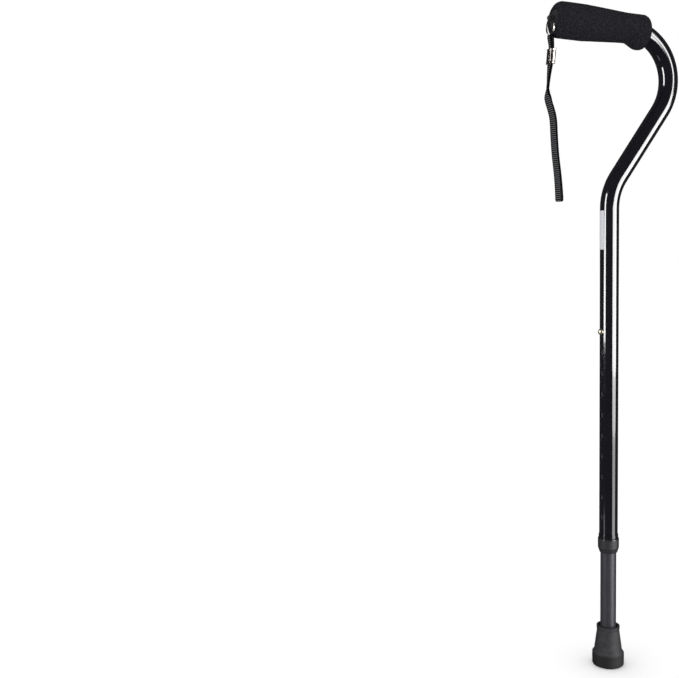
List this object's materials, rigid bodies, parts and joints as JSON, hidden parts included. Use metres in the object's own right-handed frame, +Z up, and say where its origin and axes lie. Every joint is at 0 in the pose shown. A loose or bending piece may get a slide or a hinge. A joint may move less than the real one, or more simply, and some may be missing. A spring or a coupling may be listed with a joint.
{
  "type": "walking cane",
  "caption": "Height-adjustable walking cane with an offset foam handle, snap-button tube, locking nut, rubber tip and wrist strap.",
  "frame": {"origin": "centre of the rubber tip's flat underside, where it meets the floor", "axes": "+Z up along the shaft, the grip's free end towards -X, +Y across; the bent tube lies in the plane Y = 0"},
  "size_m": [0.1696, 0.0412, 0.8007],
  "materials": {
    "grip_foam": "matte",
    "black_enamel": "gloss",
    "satin_tube": "satin",
    "black_plastic": "satin",
    "nut_plastic": "matte",
    "label_paper": "satin",
    "tip_rubber": "matte",
    "plain_steel": "satin",
    "plated_spring": "polished",
    "nickel_wire": "polished",
    "strap_webbing": "matte",
    "bright_ferrule": "polished"
  },
  "bodies": {
    "leg": {"lower_tube": "satin_tube", "rubber_tip": "tip_rubber", "tip_washer": "plain_steel"},
    "handle": {"foam_grip": "grip_foam", "upper_tube": "black_enamel", "end_plug": "black_plastic", "blank_label": "label_paper", "collet_bushing": "black_plastic"},
    "nut": {"lock_nut": "nut_plastic"},
    "button": {"snap_button": "plated_spring"},
    "ring": {"split_ring": "nickel_wire"},
    "strap": {"wrist_strap": "strap_webbing", "strap_ferrule": "bright_ferrule"}
  },
  "joints": [
    {"name": "height_slide", "type": "slide", "parent": "leg", "child": "handle", "axis": [0, 0, 1], "range_m": [0, 0.2286]},
    {"name": "button_press", "type": "slide", "parent": "leg", "child": "button", "axis": [1, 0, 0], "range_m": [0, 0.0045], "stiffness_N_per_m": 1500, "springref_m": -0.003, "deforming": ["snap_button"]},
    {"name": "lock_nut_turn", "type": "hinge", "parent": "handle", "child": "nut", "pos_m": [0, 0, 0.153], "axis": [0, 0, -1], "range_deg": [0, 360]},
    {"name": "ring_swing", "type": "hinge", "parent": "handle", "child": "ring", "pos_m": [-0.07587, 0, 0.7813], "axis": [0, 1, 0], "range_deg": [-2, 75]},
    {"name": "strap_swing", "type": "hinge", "parent": "ring", "child": "strap", "pos_m": [-0.07587, 0, 0.7624], "axis": [0, 1, 0], "range_deg": [-10, 60], "deforming": ["wrist_strap"]}
  ]
}
